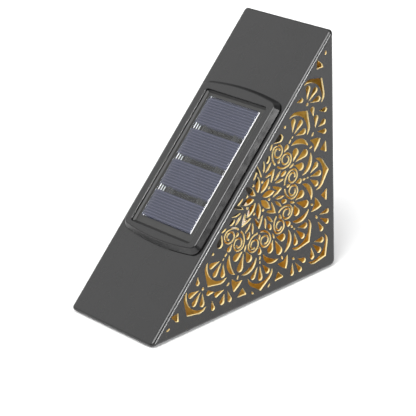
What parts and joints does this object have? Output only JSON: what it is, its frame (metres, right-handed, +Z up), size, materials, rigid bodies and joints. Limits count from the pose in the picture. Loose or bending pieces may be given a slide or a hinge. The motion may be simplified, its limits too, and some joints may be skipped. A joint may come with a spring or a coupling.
{
  "type": "solar step light",
  "caption": "Wedge-shaped solar step light: pierced metal sides, solar panel on the slope, battery, switch and hidden lamp inside that throws patterned light.",
  "frame": {"origin": "on the surface it stands on, under the middle of its width and depth", "axes": "+X across the light, +Y from the toe of the slope to the upright back, +Z up"},
  "size_m": [0.0622, 0.1292, 0.13],
  "materials": {
    "shell_coat": "satin black powder coat outside, gold enamel inside",
    "black_plastic": "semi-gloss moulded",
    "black_rubber": "matt",
    "clear_glaze": "clear glossy plate over the solar cells, edges ground",
    "grey_sealant": "smooth silicone bead",
    "panel_backing": "glass-fibre board, dark",
    "silicon_blue": "silicon cells with fine silver fingers",
    "plain_steel": "zinc-plated",
    "board_green": "solder mask",
    "chip_black": "moulded",
    "ferrite": "bare ferrite",
    "can_aluminium": "bright can",
    "led_lens": "clear epoxy",
    "bright_reflector": "metallised cone",
    "opal_dome": "translucent white",
    "battery_sleeve": "plain shrink sleeve",
    "switch_white": "moulded",
    "wire_red": "insulation",
    "wire_black": "insulation"
  },
  "bodies": {
    "shell": {"side_panel_left": "shell_coat", "side_panel_right": "shell_coat", "slope_cover": "shell_coat", "back_panel": "shell_coat", "base_plate": "shell_coat", "rubber_feet": "black_rubber"},
    "solar_module": {"bezel_frame": "black_plastic", "bezel_seal": "black_rubber", "panel_glaze": "clear_glaze", "panel_sealant": "grey_sealant", "solar_board": "panel_backing", "solar_cells": "silicon_blue", "cell_ribbons": "plain_steel", "lamp_housing": "black_plastic", "housing_seal": "black_rubber", "housing_screws": "plain_steel", "spring_clips": "plain_steel", "circuit_board": "board_green", "control_chip": "chip_black", "inductor": "ferrite", "capacitor": "can_aluminium", "board_screws": "plain_steel", "led": "led_lens", "led_leads": "plain_steel", "lamp_socket": "black_plastic", "lamp_reflector": "bright_reflector", "lamp_dome": "opal_dome", "battery_contacts": "plain_steel", "battery_spring": "plain_steel", "switch_body": "chip_black", "panel_wire_red": "wire_red", "panel_wire_black": "wire_black", "battery_wire_red": "wire_red", "battery_wire_black": "wire_black"},
    "battery": {"battery_cell": "battery_sleeve"},
    "door": {"battery_door": "black_plastic", "door_seal": "black_rubber", "door_screws": "plain_steel"},
    "switch": {"switch_knob": "switch_white"}
  },
  "joints": [
    {"name": "module_lift", "type": "slide", "parent": "shell", "child": "solar_module", "axis": [0, -0.7071, 0.7071], "range_m": [0, 0.05]},
    {"name": "battery_out", "type": "slide", "parent": "solar_module", "child": "battery", "axis": [0, 0.7071, -0.7071], "range_m": [0, 0.016]},
    {"name": "door_off", "type": "slide", "parent": "solar_module", "child": "door", "axis": [0, 0.7071, -0.7071], "range_m": [0, 0.024]},
    {"name": "switch_slide", "type": "slide", "parent": "solar_module", "child": "switch", "axis": [0, 0.7071, 0.7071], "range_m": [0, 0.002]}
  ],
  "couplings": [
    {"joint": "door_off", "follows": "battery_out", "ratio": 1.5}
  ]
}
